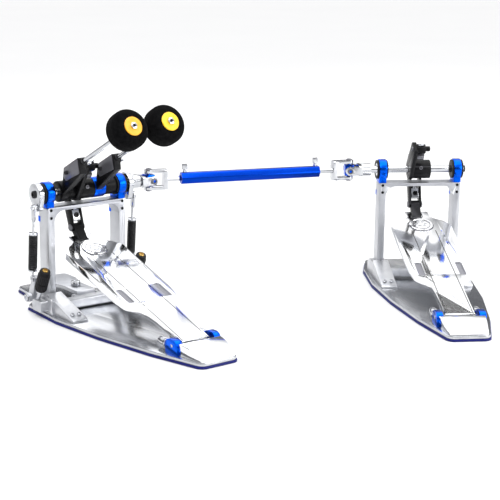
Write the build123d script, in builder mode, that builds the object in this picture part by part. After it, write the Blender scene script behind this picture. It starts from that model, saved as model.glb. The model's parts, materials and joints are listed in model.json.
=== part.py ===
"""Double bass drum pedal: a main pedal with two beaters, a slave pedal, and the drive shaft between them.

Millimetres, +Z up. The frame is the main pedal's: X runs along its shaft towards the slave pedal, Y points
at the drum, and the origin is on the floor below the middle of the shaft. Slave pieces are drawn in the same
way about the slave's own shaft and then placed.
"""

from build123d import *
from math import cos, hypot, radians, sin
import os

os.makedirs("parts", exist_ok=True)

# Driving dimensions, shared by both pedals.
SHAFT_HEIGHT = 163.4          # shaft axis above the floor
POST_X = 55.0                 # middle of each post
POST_SCREW_Z = (131.5, 141.9)
SHAFT_R = 5.0
RUNNING_GAP = 0.06            # radial clearance of a shaft in its bore
MAT_TOP = 3.0
PLATE_TOP = 7.0
HEEL_Y = -257.0               # footboard hinge
HINGE_Z = 17.0
HINGE_PIN_R = 2.5
BOARD_TOP_Z = 21.7            # top of the footboard above the hinge
BOARD_SLOPE = 15.9            # degrees
BOARD_DEPTH = 9.0
BOARD_SKIN = 3.5
LINK_U = 268.6                # link pivot, along the footboard from the hinge
LINK_DEPTH = 4.0              # and below its top face
CAM_R = 26.0                  # link pivot from the shaft axis
CAM_ANGLE = 30.0              # its angle above level at rest, on the drum side
CLAMP_REACH = 42.0            # cam clamp's screw, from the shaft axis
CLAMP_LEAN = 36.0             # its angle from upright, towards the player

# Drive shaft between the pedals.
MAIN_JOINT_X = 106.0          # universal joint centre, from the main pedal's middle
SLAVE_JOINT_X = -103.5        # the same, in the slave pedal's frame
TUBE_YAW = -19.43             # degrees, from the main shaft
SLAVE_YAW = -31.15
JOINT_SPAN = 298.0            # between the universal joints
TUBE_START, TUBE_END = 46.0, 251.0
TUBE_ACROSS = 15.6
TUBE_BORE_R = 3.95
INNER_ROD_R = 3.6
YOKE_ARM_IN, YOKE_ARM_OUT = 9.5, 14.0
CROSS_PIN_R = 2.5

# Beaters.
BEATER_LEAN = 62.4            # degrees from upright, towards the player
BEATER_OFFSET = 16.0          # rod axis from the shaft axis
BEATER_ROD_R = 3.0
LEFT_BEATER_X, RIGHT_BEATER_X = -33.8, 17.9
LEFT_BEATER_REACH, RIGHT_BEATER_REACH = 192.0, 196.0
HEAD_R, HEAD_HALF = 25.2, 15.5

# Return springs, at both ends of the main shaft.
SPRING_X = 77.0
SPRING_FOOT = (3.0, 50.0)     # y, z of the lower eye
SPRING_PIN = (-5.0, 147.0)    # y, z of the rocker pin
SPRING_R = 6.25
KNOB_LOW, KNOB_HIGH = (-14.0, 38.0), (-28.0, 67.0)

# Places in the y, z plane that follow from those dimensions.
SLOPE_COS, SLOPE_SIN = cos(radians(BOARD_SLOPE)), sin(radians(BOARD_SLOPE))
LEAN_COS, LEAN_SIN = cos(radians(BEATER_LEAN)), sin(radians(BEATER_LEAN))
BOARD_PIVOT = (
    HEEL_Y + LINK_U * SLOPE_COS + LINK_DEPTH * SLOPE_SIN,
    BOARD_TOP_Z + LINK_U * SLOPE_SIN - LINK_DEPTH * SLOPE_COS,
)
CAM_PIVOT = (
    CAM_R * cos(radians(CAM_ANGLE)),
    SHAFT_HEIGHT + CAM_R * sin(radians(CAM_ANGLE)),
)
BOARD_PLANE = Plane(
    origin=(0, HEEL_Y, BOARD_TOP_Z), x_dir=(1, 0, 0), z_dir=(0, -SLOPE_SIN, SLOPE_COS)
)

MAIN = Location((0, 0, 0))
TUBE = Plane(
    origin=(MAIN_JOINT_X, 0, SHAFT_HEIGHT),
    x_dir=(cos(radians(TUBE_YAW)), sin(radians(TUBE_YAW)), 0),
    z_dir=(0, 0, 1),
).location
slave_x_dir = Vector(cos(radians(SLAVE_YAW)), sin(radians(SLAVE_YAW)), 0)
slave_joint = Vector(MAIN_JOINT_X, 0, 0) + JOINT_SPAN * Vector(
    cos(radians(TUBE_YAW)), sin(radians(TUBE_YAW)), 0
)
SLAVE = Plane(
    origin=slave_joint - SLAVE_JOINT_X * slave_x_dir, x_dir=slave_x_dir, z_dir=(0, 0, 1)
).location


def save(piece, node, place=MAIN):
    """Place a finished piece, name it and write it."""
    placed = piece.moved(place)
    placed.label = node
    export_step(placed, f"parts/{node}.step")


def beater_side(x):
    """Plane square to the shaft at x: local x runs up the beater rod, local y away from the shaft axis."""
    return Plane(origin=(x, 0, SHAFT_HEIGHT), x_dir=(0, -LEAN_SIN, LEAN_COS), z_dir=(-1, 0, 0))


def along_rod(x, reach):
    """Plane square to the beater rod, at a distance up it."""
    return Plane(
        origin=(
            x,
            BEATER_OFFSET * LEAN_COS - reach * LEAN_SIN,
            SHAFT_HEIGHT + BEATER_OFFSET * LEAN_SIN + reach * LEAN_COS,
        ),
        x_dir=(1, 0, 0),
        z_dir=(0, -LEAN_SIN, LEAN_COS),
    )


def toward(low, high, x):
    """Plane square to the line from low to high, two (y, z) points, at x, with its origin at low."""
    return Plane(
        origin=(x, low[0], low[1]), x_dir=(1, 0, 0), z_dir=(0, high[0] - low[0], high[1] - low[1])
    )


def span(low, high):
    return hypot(high[0] - low[0], high[1] - low[1])


# ---------------------------------------------------------------- floor, posts and feet

# Right-hand side of each floor outline, from the drum end to the heel.
FLOOR_SIDES = [(72, 27), (75, -52), (66, -140), (49, -233), (28, -312)]
FLOOR_OUTLINES = {
    "main": [(40, 120), (46, 52), *FLOOR_SIDES],
    "slave": [(58, 86), *FLOOR_SIDES],
}


def floor_sheet(pedal, low, high, inset=0.0):
    """A sheet with the pedal's tapered outline: mat or base plate."""
    right = FLOOR_OUTLINES[pedal]
    with BuildPart() as sheet:
        with BuildSketch(Plane.XY.offset(low)) as outline:
            with BuildLine():
                Polyline(*right, *[(-x, y) for x, y in reversed(right)], close=True)
            make_face()
            fillet(outline.vertices().group_by(Axis.Y)[-1], 14)
            fillet(outline.vertices().sort_by(Axis.Y)[:2], 12)
            if inset:
                offset(amount=-inset)
        extrude(amount=high - low)
    return sheet.part


def post_frame():
    """Both posts and the crossbar: one upside-down U with arched inner corners."""
    half_depth, post_width, foot_z, bar_low, bar_top = 12, 9.5, 27, 140.4, 145.1
    outer, inner = POST_X + post_width / 2, POST_X - post_width / 2
    with BuildPart() as posts:
        with BuildSketch(Plane.XZ.offset(-half_depth)) as front:
            with Locations((0, foot_z)):
                Rectangle(2 * outer, bar_top - foot_z, align=(Align.CENTER, Align.MIN))
                Rectangle(
                    2 * inner, bar_low - foot_z, align=(Align.CENTER, Align.MIN), mode=Mode.SUBTRACT
                )
            fillet(front.vertices().filter_by(lambda v: abs(v.Y - bar_low) < 0.1), 15)
            fillet(front.vertices().group_by(Axis.Y)[-1], 2)
        extrude(amount=2 * half_depth)
        with Locations(Plane.XZ.offset(half_depth)):
            with Locations(*[(side * POST_X, z) for side in (-1, 1) for z in POST_SCREW_Z]):
                Hole(radius=1.6, depth=8)
    return posts.part


def feet(with_jaw_lugs):
    """Two sloping castings that carry the posts, and the bar that ties them together."""
    inner, outer = 44, 66
    profile = [(25, PLATE_TOP), (25, 20), (14, 27), (-12, 27), (-14, 31), (-82, 10), (-82, PLATE_TOP)]
    bar_back, bar_front, bar_low, bar_top = -15, -30, 8, 22
    lug_in, lug_out = 15, 19
    with BuildPart() as castings:
        for start in (inner, -outer):
            with BuildSketch(Plane.YZ.offset(start)):
                with BuildLine():
                    Polyline(*profile, close=True)
                make_face()
            extrude(amount=outer - inner)
        with BuildSketch(Plane.YZ.offset(-inner)):
            with Locations(((bar_back + bar_front) / 2, (bar_low + bar_top) / 2)):
                RectangleRounded(bar_back - bar_front, bar_top - bar_low, 3)
        extrude(amount=2 * inner)
        if with_jaw_lugs:
            for start in (lug_in, -lug_out):
                with BuildSketch(Plane.YZ.offset(start)):
                    with Locations((JAW_HINGE[0] - 7.5, JAW_HINGE[1])):
                        Rectangle(15, 10)
                    with Locations(JAW_HINGE):
                        Circle(5)
                extrude(amount=lug_out - lug_in)
            with BuildSketch(Plane.YZ.offset(-lug_in)):
                with Locations(JAW_HINGE):
                    Circle(HINGE_PIN_R)
            extrude(amount=2 * lug_in)
        tips = castings.edges().filter_by(Axis.X).group_by(Axis.Y)[0].sort_by(Axis.Z)[-2:]
        fillet(tips, 2)
    return castings.part


# ---------------------------------------------------------------- heel and footboard


def heel_plate():
    """The fixed heel rest: falls in a curve to the back edge and narrows a little."""
    front_y, step_y, back_y, back_z = -262.4, -268.5, -308, 9
    right = [(24, front_y), (24, step_y), (31, step_y), (25, back_y)]
    with BuildPart() as heel:
        with BuildSketch(Plane.XY.offset(PLATE_TOP)):
            with BuildLine():
                Polyline(*right, *[(-x, y) for x, y in reversed(right)], close=True)
            make_face()
        extrude(amount=BOARD_TOP_Z - PLATE_TOP)
        with BuildSketch(Plane.YZ.offset(-40)):
            with BuildLine():
                Line((front_y, PLATE_TOP), (front_y, BOARD_TOP_Z))
                ThreePointArc((front_y, BOARD_TOP_Z), (-288, 18.6), (back_y, back_z))
                Polyline((back_y, back_z), (back_y, PLATE_TOP), (front_y, PLATE_TOP))
            make_face()
        extrude(amount=80, mode=Mode.INTERSECT)
    return heel.part


BOARD_OUTLINE = [
    (19.5, -3.5), (20, 54), (22, 77), (39, 97), (42, 116), (44, 237), (34.5, 249), (25, 255),
    (18, 262), (18, 277),
]
NOTCH_HALF, NOTCH_U = 7.5, 261.0
SLOT_U, SLOT_V, SLOT_LENGTH, SLOT_WIDTH = 114, 28.5, 34, 9


def footboard():
    """Longboard with a narrow neck, a down-turned rim, two long slots and a notch for the link."""
    rim = 3.0
    right = [*BOARD_OUTLINE, (NOTCH_HALF, 277), (NOTCH_HALF, NOTCH_U)]
    left = [(-v, u) for v, u in reversed(right)]
    solid_end = 258.0
    with BuildPart() as board:
        with BuildSketch(BOARD_PLANE) as outline:
            with BuildLine():
                Polyline(*right, *left, close=True)
            make_face()
            fillet(outline.vertices().filter_by(lambda v: 90 < v.Y < 105), 12)
            fillet(outline.vertices().filter_by(lambda v: 70 < v.Y < 85), 20)
            fillet(outline.vertices().filter_by(lambda v: 230 < v.Y < 240), 3)
            fillet(outline.vertices().filter_by(lambda v: v.Y > 270 and abs(v.X) > 10), 3)
        extrude(amount=-BOARD_DEPTH)
        with BuildSketch(BOARD_PLANE.offset(-BOARD_SKIN)):
            add(outline.sketch.faces())
            offset(amount=-rim, kind=Kind.INTERSECTION)
            with Locations((0, solid_end)):
                Rectangle(120, 60, align=(Align.CENTER, Align.MIN), mode=Mode.SUBTRACT)
            with Locations((0, -4)):
                Rectangle(120, 12, align=(Align.CENTER, Align.MIN), mode=Mode.SUBTRACT)
        extrude(amount=-BOARD_DEPTH, mode=Mode.SUBTRACT)
        with BuildSketch(BOARD_PLANE):
            with Locations((SLOT_V, SLOT_U), (-SLOT_V, SLOT_U)):
                RectangleRounded(SLOT_WIDTH, SLOT_LENGTH, 2)
        extrude(amount=-BOARD_DEPTH, mode=Mode.SUBTRACT)
        # Hinge knuckle at the heel, and the pin of the link across the notch.
        with BuildSketch(Plane.YZ.offset(-19.5)):
            with Locations((HEEL_Y, HINGE_Z)):
                Circle(4.6)
        extrude(amount=39)
        with BuildSketch(Plane.YZ.offset(-24)):
            with Locations((HEEL_Y, HINGE_Z)):
                Circle(HINGE_PIN_R + RUNNING_GAP)
        extrude(amount=48, mode=Mode.SUBTRACT)
        with BuildSketch(Plane.YZ.offset(-16)):
            with Locations(BOARD_PIVOT):
                Circle(HINGE_PIN_R)
        extrude(amount=32)
    return board.part


def hinge_blocks():
    """Two rounded blocks beside the heel with the hinge pin between them, and their two lock screws."""
    low_x, high_x, half_y, height = 24.5, 33, 12.5, 18
    screw_x, screw_z, screw_y = 28.7, HINGE_Z - 1, HEEL_Y + 14
    screw_steps = [(6.4, 2.5), (4.0, 1.5), (6.0, 11.0)]
    with BuildPart() as blocks:
        for start in (low_x, -high_x):
            with BuildSketch(Plane.YZ.offset(start)) as side:
                with Locations((HEEL_Y + 1.5, PLATE_TOP)):
                    Rectangle(2 * half_y, height, align=(Align.CENTER, Align.MIN))
                fillet(side.vertices().group_by(Axis.Y)[-1], 9.5)
            extrude(amount=high_x - low_x)
        with BuildSketch(Plane.YZ.offset(-low_x)):
            with Locations((HEEL_Y, HINGE_Z)):
                Circle(HINGE_PIN_R)
        extrude(amount=2 * low_x)
    with BuildPart() as screws:
        y = screw_y
        for radius, length in screw_steps:
            with BuildSketch(Plane.XZ.offset(-y)):
                with Locations((-screw_x, screw_z), (screw_x, screw_z)):
                    Circle(radius)
            extrude(amount=-length)
            y += length
    return Compound([*blocks.part.solids(), *screws.part.solids()])


# ---------------------------------------------------------------- shaft and bearings

HOUSING_IN, HOUSING_OUT, HOUSING_R, CARTRIDGE_R = 49.7, 60.3, 15.0, 11.0


def bearing_housings():
    """Strap over each bearing, standing on the crossbar."""
    with BuildPart() as housings:
        for start in (HOUSING_IN, -HOUSING_OUT):
            with BuildSketch(Plane.YZ.offset(start)):
                with Locations((0, 145.1)):
                    Rectangle(22, 14, align=(Align.CENTER, Align.MIN))
                with Locations((0, SHAFT_HEIGHT)):
                    Circle(HOUSING_R)
                    Circle(CARTRIDGE_R, mode=Mode.SUBTRACT)
            extrude(amount=HOUSING_OUT - HOUSING_IN)
    return housings.part


def bearing_cartridges():
    """Black bearing cartridge in each housing, flanged at both faces, with a recessed outer face."""
    inner_end, outer_end, flange_r = 47.6, 63.3, 13.6
    bands = [
        (inner_end, HOUSING_IN, flange_r),
        (HOUSING_IN, HOUSING_OUT, CARTRIDGE_R),
        (HOUSING_OUT, outer_end, flange_r),
    ]
    with BuildPart() as cartridges:
        for low, high, radius in bands:
            with BuildSketch(Plane.YZ.offset(low)):
                with Locations((0, SHAFT_HEIGHT)):
                    Circle(radius)
            extrude(amount=high - low)
        with BuildSketch(Plane.YZ.offset(inner_end)):
            with Locations((0, SHAFT_HEIGHT)):
                Circle(SHAFT_R + RUNNING_GAP)
        extrude(amount=outer_end - inner_end, mode=Mode.SUBTRACT)
        with BuildSketch(Plane.YZ.offset(outer_end - 1.6)):
            with Locations((0, SHAFT_HEIGHT)):
                Circle(10)
        extrude(amount=1.6, mode=Mode.SUBTRACT)
        mirror(about=Plane.YZ)
    return cartridges.part


def round_bar(start, end, radius, bore=0.0):
    """Bar or sleeve about the shaft axis."""
    with BuildPart() as bar:
        with BuildSketch(Plane.YZ.offset(start)):
            with Locations((0, SHAFT_HEIGHT)):
                Circle(radius)
                if bore:
                    Circle(bore, mode=Mode.SUBTRACT)
        extrude(amount=end - start)
    return bar.part


def cam(start, end):
    """Drive cam: barrel on the shaft and a lug that reaches out between the link's side plates."""
    lug_half = 5.5
    with BuildPart() as drive:
        with BuildSketch(Plane.YZ.offset(start)):
            with Locations((0, SHAFT_HEIGHT)):
                Circle(13.5)
        extrude(amount=end - start)
        with BuildSketch(Plane.YZ.offset(-lug_half)):
            with Locations((0, SHAFT_HEIGHT)):
                Circle(13)
            with Locations(CAM_PIVOT):
                Circle(6.5)
            make_hull()
        extrude(amount=2 * lug_half)
        with BuildSketch(Plane.YZ.offset(start)):
            with Locations((0, SHAFT_HEIGHT)):
                Circle(SHAFT_R)
        extrude(amount=end - start, mode=Mode.SUBTRACT)
    return drive.part


def cam_clamp():
    """Angle adjuster beside the cam: a fan plate round the shaft and the screw across its top."""
    plate_low, plate_high = -16.0, -10.3
    lean = Plane(
        origin=(plate_low, 0, SHAFT_HEIGHT),
        x_dir=(0, cos(radians(CLAMP_LEAN)), sin(radians(CLAMP_LEAN))),
        z_dir=(1, 0, 0),
    )
    with BuildPart() as clamp:
        with BuildSketch(lean):
            Circle(14.5)
            with Locations((-6.5, CLAMP_REACH), (6.5, CLAMP_REACH)):
                Circle(5)
            make_hull()
            Circle(SHAFT_R, mode=Mode.SUBTRACT)
        extrude(amount=plate_high - plate_low)
        for radius, start, end in ((7.5, plate_high, 1.7), (4, 1.7, 8.7)):
            with BuildSketch(lean.offset(start - plate_low)):
                with Locations((0, CLAMP_REACH)):
                    RegularPolygon(radius, 6)
            extrude(amount=end - start)
    return clamp.part


# ---------------------------------------------------------------- drive link

LINK_BARREL = (17.0, 107.5)   # y, z of the link's lower barrel
LINK_BEND = (26.0, 133.0)     # y, z where its side plates turn up to the cam
PLATE_IN, PLATE_OUT = 6.0, 9.0


def link():
    """Side plates from the cam lug down to a barrel, and a narrow foot on the footboard's pin."""
    foot_half = 6.4
    with BuildPart() as drive_link:
        for start in (PLATE_IN, -PLATE_OUT):
            for low, high, low_r, high_r in (
                (LINK_BEND, CAM_PIVOT, 6.5, 6.5),
                (LINK_BARREL, LINK_BEND, 5.5, 6.5),
            ):
                with BuildSketch(Plane.YZ.offset(start)):
                    with Locations(low):
                        Circle(low_r)
                    with Locations(high):
                        Circle(high_r)
                    make_hull()
                extrude(amount=PLATE_OUT - PLATE_IN)
        with BuildSketch(Plane.YZ.offset(-PLATE_OUT)):
            with Locations(LINK_BARREL):
                Circle(5.5)
        extrude(amount=2 * PLATE_OUT)
        with BuildSketch(Plane.YZ.offset(-foot_half)):
            with Locations(LINK_BARREL):
                Circle(5.0)
            with Locations(BOARD_PIVOT):
                Circle(5.0)
            make_hull()
        extrude(amount=2 * foot_half)
        with BuildSketch(Plane.YZ.offset(-foot_half)):
            with Locations(BOARD_PIVOT):
                Circle(HINGE_PIN_R + RUNNING_GAP)
        extrude(amount=2 * foot_half, mode=Mode.SUBTRACT)
    return drive_link.part


def link_block():
    """Length adjuster between the link's side plates, with its hexagon screw."""
    lean = toward(LINK_BARREL, LINK_BEND, 0)
    with BuildPart() as block:
        with BuildSketch(lean.offset(8.0)):
            RectangleRounded(2 * PLATE_IN, 11, 1.5)
        extrude(amount=15)
        with BuildSketch(lean.offset(23.0)):
            RegularPolygon(5.4, 6)
        extrude(amount=6)
    return block.part


# ---------------------------------------------------------------- universal joints and tube


def yoke_arms(axis_plane, root):
    """Two arms either side of an axis: a slab cut to leave the outer thirds. Local x runs along the shaft."""
    with BuildPart() as arms:
        for side in (-1, 1):
            with BuildSketch(axis_plane.offset(side * (YOKE_ARM_IN + YOKE_ARM_OUT) / 2)):
                with Locations((root / 2, 0)):
                    Rectangle(abs(root), 12)
                Circle(6.4)
            extrude(amount=(YOKE_ARM_OUT - YOKE_ARM_IN) / 2, both=True)
    return arms.part


def shaft_yoke(joint_x, hub_start):
    """Yoke on a pedal's shaft, with arms towards the drum and the player."""
    inward = 1 if joint_x > 0 else -1
    web_x = joint_x - 18 * inward
    with BuildPart() as yoke:
        with BuildSketch(Plane.YZ.offset(hub_start)):
            with Locations((0, SHAFT_HEIGHT)):
                Circle(9.2)
        extrude(amount=web_x - hub_start)
        with BuildSketch(Plane.YZ.offset(web_x)):
            with Locations((0, SHAFT_HEIGHT)):
                RectangleRounded(2 * YOKE_ARM_OUT, 15, 3)
        extrude(amount=5 * inward)
        pin_plane = Plane(origin=(joint_x, 0, SHAFT_HEIGHT), x_dir=(1, 0, 0), z_dir=(0, 1, 0))
        add(yoke_arms(pin_plane, web_x + 4 * inward - joint_x))
        with BuildSketch(pin_plane):
            Circle(CROSS_PIN_R + RUNNING_GAP)
        extrude(amount=20, both=True, mode=Mode.SUBTRACT)
    return yoke.part


def rod_yoke(joint_x, rod_end):
    """Yoke on an inner rod of the tube, with arms above and below, in the tube's own frame."""
    inward = 1 if rod_end > joint_x else -1
    web_x = joint_x + 20 * inward
    pin_clearance = 0.7
    with BuildPart() as yoke:
        with BuildSketch(Plane.YZ.offset(web_x)):
            RectangleRounded(13, 2 * YOKE_ARM_OUT, 3)
        extrude(amount=6 * inward)
        with BuildSketch(Plane.YZ.offset(web_x + 6 * inward)):
            Circle(INNER_ROD_R)
        extrude(amount=rod_end - web_x - 6 * inward)
        pin_plane = Plane(origin=(joint_x, 0, 0), x_dir=(1, 0, 0), z_dir=(0, 0, 1))
        add(yoke_arms(pin_plane, web_x + 2 * inward - joint_x))
        with BuildSketch(pin_plane):
            Circle(CROSS_PIN_R + pin_clearance)
        extrude(amount=20, both=True, mode=Mode.SUBTRACT)
    return yoke.part


def cross(joint_x):
    """Spider block between two yokes, in a pedal's frame."""
    centre = Plane(origin=(joint_x, 0, SHAFT_HEIGHT), x_dir=(1, 0, 0), z_dir=(0, 0, 1))
    with BuildPart() as spider:
        with BuildSketch(centre):
            RectangleRounded(13, 15, 2)
        extrude(amount=7.5, both=True)
        for pin_dir in ((0, 1, 0), (0, 0, 1)):
            with BuildSketch(Plane(origin=centre.origin, x_dir=(1, 0, 0), z_dir=pin_dir)):
                Circle(CROSS_PIN_R)
            extrude(amount=15.2, both=True)
    return spider.part


def drive_tube():
    """Rounded hexagonal outer tube, in its own frame."""
    with BuildPart() as tube:
        with BuildSketch(Plane.YZ.offset(TUBE_START)) as section:
            RegularPolygon(TUBE_ACROSS / 2, 6, major_radius=False)
            fillet(section.vertices(), 3)
            Circle(TUBE_BORE_R, mode=Mode.SUBTRACT)
        extrude(amount=TUBE_END - TUBE_START)
    return tube.part


def tube_screws():
    """Key screw with a flat wing on top, near each end of the tube."""
    shank, wing, seat = 5, 7, TUBE_ACROSS / 2
    places = [(TUBE_START + 5.5, 0), (TUBE_END - 5.5, 0)]
    with BuildPart() as screws:
        with BuildSketch(Plane.XY.offset(seat)):
            with Locations(*places):
                Circle(2.6)
        extrude(amount=shank)
        with BuildSketch(Plane.XY.offset(seat + shank)):
            with Locations(*places):
                RectangleRounded(8, 4.6, 1.2)
        extrude(amount=wing)
    return screws.part


# ---------------------------------------------------------------- beaters


HOLDER_HALF = 4.7             # half the holder's width along the shaft
HOLDER_START, HOLDER_END = 14.0, 77.0
RING_R = 13.8


def beater_holder(rod_x, on_ring):
    """Clamp that holds a beater rod: a block along the rod, on a hub round the shaft or on the blue ring."""
    low, high = 1.5, 22.5
    with BuildPart() as holder:
        with BuildSketch(beater_side(rod_x + HOLDER_HALF)) as side:
            with BuildLine():
                Polyline((8, -8), (HOLDER_END - 8, low), (HOLDER_END, high), (32, high), close=True)
            make_face()
            fillet(side.vertices().sort_by(Axis.X)[-1], 4)
            if on_ring:
                Circle(RING_R, mode=Mode.SUBTRACT)
            else:
                Circle(14)
        extrude(amount=2 * HOLDER_HALF)
        if not on_ring:
            add(round_bar(rod_x + HOLDER_HALF, HUB_SLEEVE_END, 12.4))
            add(round_bar(rod_x - HOLDER_HALF, HUB_SLEEVE_END, SHAFT_R), mode=Mode.SUBTRACT)
        with BuildSketch(along_rod(rod_x, HOLDER_START)):
            Circle(BEATER_ROD_R + RUNNING_GAP)
        extrude(amount=HOLDER_END, mode=Mode.SUBTRACT)
    return holder.part


def beater_rod(x, reach):
    tail = HOLDER_START + 8
    with BuildPart() as rod:
        with BuildSketch(along_rod(x, tail)):
            Circle(BEATER_ROD_R)
        extrude(amount=reach + HEAD_HALF - tail)
        chamfer(rod.edges().sort_by(Axis.Z)[0], 0.8)
    return rod.part


def beater_head(x, reach):
    """Round felt head on the rod's own axis."""
    with BuildPart() as head:
        with BuildSketch(along_rod(x, reach)):
            Circle(HEAD_R)
        extrude(amount=HEAD_HALF, both=True)
        fillet(head.edges(), 11)
        with BuildSketch(along_rod(x, reach)):
            Circle(BEATER_ROD_R)
        extrude(amount=HEAD_HALF, both=True, mode=Mode.SUBTRACT)
    return head.part


def beater_badge(x, reach):
    """Coloured washer and end nut on the head's outer face."""
    with BuildPart() as badge:
        with BuildSketch(along_rod(x, reach + HEAD_HALF)):
            Circle(12)
        extrude(amount=1.6)
        with BuildSketch(along_rod(x, reach + HEAD_HALF + 1.6)):
            RegularPolygon(4.8, 6)
        extrude(amount=2.4)
    return badge.part


# ---------------------------------------------------------------- springs

ROCKER_IN, ROCKER_OUT, PIN_OUT = 65.8, 73.0, 75.2
COIL_LOW, COIL_HIGH = 13.0, 61.0   # along the spring line from its lower eye
ANCHOR_IN, ANCHOR_OUT = 71.0, 75.4
ANCHOR_BOLT = (13.0, 22.0)
EYE_HALF = 1.3


def rocker(side):
    """Disc on the shaft's end with the pin that pulls the spring."""
    low, high = (ROCKER_IN, ROCKER_OUT) if side > 0 else (-ROCKER_OUT, -ROCKER_IN)
    with BuildPart() as disc:
        with BuildSketch(Plane.YZ.offset(low)):
            with Locations((0, SHAFT_HEIGHT)):
                Circle(14.5)
            with Locations(SPRING_PIN):
                Circle(5.5)
            make_hull()
            with Locations((0, SHAFT_HEIGHT)):
                Circle(SHAFT_R, mode=Mode.SUBTRACT)
        extrude(amount=high - low)
        with BuildSketch(Plane.YZ.offset(side * ROCKER_OUT)):
            with Locations(SPRING_PIN):
                Circle(3.4)
        extrude(amount=side * (PIN_OUT - ROCKER_OUT))
    return disc.part


def spring_upper(side):
    """Swivel plate at the rocker pin and the straight hook down to the coil."""
    x, line = side * SPRING_X, span(SPRING_FOOT, SPRING_PIN)
    with BuildPart() as hook:
        with BuildSketch(Plane.YZ.offset(x - EYE_HALF)):
            with Locations(SPRING_PIN):
                Circle(4.6)
            with Locations((SPRING_PIN[0] + 1.3, SPRING_PIN[1] - 15)):
                Circle(4.0)
            make_hull()
        extrude(amount=2 * EYE_HALF)
        with BuildSketch(toward(SPRING_FOOT, SPRING_PIN, x).offset(COIL_HIGH)):
            Circle(1.5)
        extrude(amount=line - COIL_HIGH - 14)
        with BuildSketch(toward(SPRING_FOOT, SPRING_PIN, x).offset(COIL_HIGH)):
            Circle(SPRING_R)
        extrude(amount=2)
    return hook.part


def spring_coil(side):
    """Envelope of the coil: a tube along the spring line."""
    with BuildPart() as coil:
        with BuildSketch(toward(SPRING_FOOT, SPRING_PIN, side * SPRING_X).offset(COIL_LOW)):
            Circle(SPRING_R)
            Circle(SPRING_R - 2.2, mode=Mode.SUBTRACT)
        extrude(amount=COIL_HIGH - COIL_LOW)
    return coil.part


def spring_lower(side):
    """Lower eye on the anchor's pin, and its straight run up to the coil."""
    x = side * SPRING_X
    with BuildPart() as eye:
        with BuildSketch(Plane.YZ.offset(x - EYE_HALF)):
            with Locations(SPRING_FOOT):
                Circle(4.6)
        extrude(amount=2 * EYE_HALF)
        with BuildSketch(toward(SPRING_FOOT, SPRING_PIN, x)):
            Circle(1.5)
        extrude(amount=COIL_LOW)
        with BuildSketch(toward(SPRING_FOOT, SPRING_PIN, x).offset(COIL_LOW - 2)):
            Circle(SPRING_R)
        extrude(amount=2)
        with BuildSketch(Plane.YZ.offset(x - 6)):
            with Locations(SPRING_FOOT):
                Circle(2 + RUNNING_GAP)
        extrude(amount=12, mode=Mode.SUBTRACT)
    return eye.part


def spring_brackets():
    """Cast bracket on the outside of each foot: knob lug, anchor arm and the pin for the spring's eye."""
    foot_face, plate_out, lug_out = 66, 69, 80
    with BuildPart() as brackets:
        with BuildSketch(Plane.YZ.offset(foot_face)) as plate:
            with Locations((-6.5, PLATE_TOP)):
                Rectangle(53, 21, align=(Align.CENTER, Align.MIN))
            fillet(plate.vertices().group_by(Axis.Y)[-1], 6)
        extrude(amount=plate_out - foot_face)
        with BuildSketch(Plane.YZ.offset(plate_out)) as lug:
            with Locations((-12, 9)):
                Rectangle(22, 15, align=(Align.CENTER, Align.MIN))
            fillet(lug.vertices(), 3)
        extrude(amount=lug_out - plate_out)
        with BuildSketch(Plane.YZ.offset(plate_out)):
            with Locations(ANCHOR_BOLT):
                Circle(6)
        extrude(amount=lug_out - plate_out)
        with BuildSketch(Plane.YZ.offset(ANCHOR_IN)):
            with Locations(ANCHOR_BOLT):
                Circle(6)
            with Locations(SPRING_FOOT):
                Circle(4.4)
            make_hull()
        extrude(amount=ANCHOR_OUT - ANCHOR_IN)
        with BuildSketch(Plane.YZ.offset(ANCHOR_OUT)):
            with Locations(SPRING_FOOT):
                Circle(2)
        extrude(amount=SPRING_X + EYE_HALF + 1 - ANCHOR_OUT)
        with BuildSketch(toward(KNOB_LOW, KNOB_HIGH, 75).offset(-26)):
            Circle(3 + RUNNING_GAP)
        extrude(amount=26, mode=Mode.SUBTRACT)
        mirror(about=Plane.YZ)
    return brackets.part


def tension_knob(side):
    """Knurled nut with a brass insert, on the stud that screws into the bracket's lug."""
    base = toward(KNOB_LOW, KNOB_HIGH, side * 75)
    length = span(KNOB_LOW, KNOB_HIGH)
    with BuildPart() as knob:
        with BuildSketch(base):
            Circle(8.5)
        extrude(amount=length)
        fillet(knob.edges(), 1.5)
        with BuildSketch(base.offset(-24)):
            Circle(3)
        extrude(amount=24)
        with BuildSketch(base.offset(length)):
            Circle(4.5)
        extrude(amount=2.5)
    return knob.part


# ---------------------------------------------------------------- hoop clamp

JAW_HINGE = (-3.0, 15.0)
JAW_LOW, JAW_HIGH, JAW_END = 19.0, 24.0, 88.0
CLAMP_SCREW_Y = 22.0


def hoop_jaw():
    """Upper jaw of the hoop clamp, hinged between two lugs, with a clearance hole for its screw."""
    with BuildPart() as jaw:
        with BuildSketch(Plane.XY.offset(JAW_LOW)) as outline:
            with BuildLine():
                Polyline((14.2, -5), (14.2, 30), (22, 60), (22, JAW_END), (-22, JAW_END), (-22, 60),
                         (-14.2, 30), (-14.2, -5), close=True)
            make_face()
            fillet(outline.vertices().group_by(Axis.Y)[-1], 7)
            with Locations((0, CLAMP_SCREW_Y)):
                Circle(4.6, mode=Mode.SUBTRACT)
        extrude(amount=JAW_HIGH - JAW_LOW)
        with BuildSketch(Plane.YZ.offset(-14.2)):
            with Locations(JAW_HINGE):
                Circle(5.2)
        extrude(amount=28.4)
        with BuildSketch(Plane.YZ.offset(-20)):
            with Locations(JAW_HINGE):
                Circle(HINGE_PIN_R + RUNNING_GAP)
        extrude(amount=40, mode=Mode.SUBTRACT)
    return jaw.part


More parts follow.
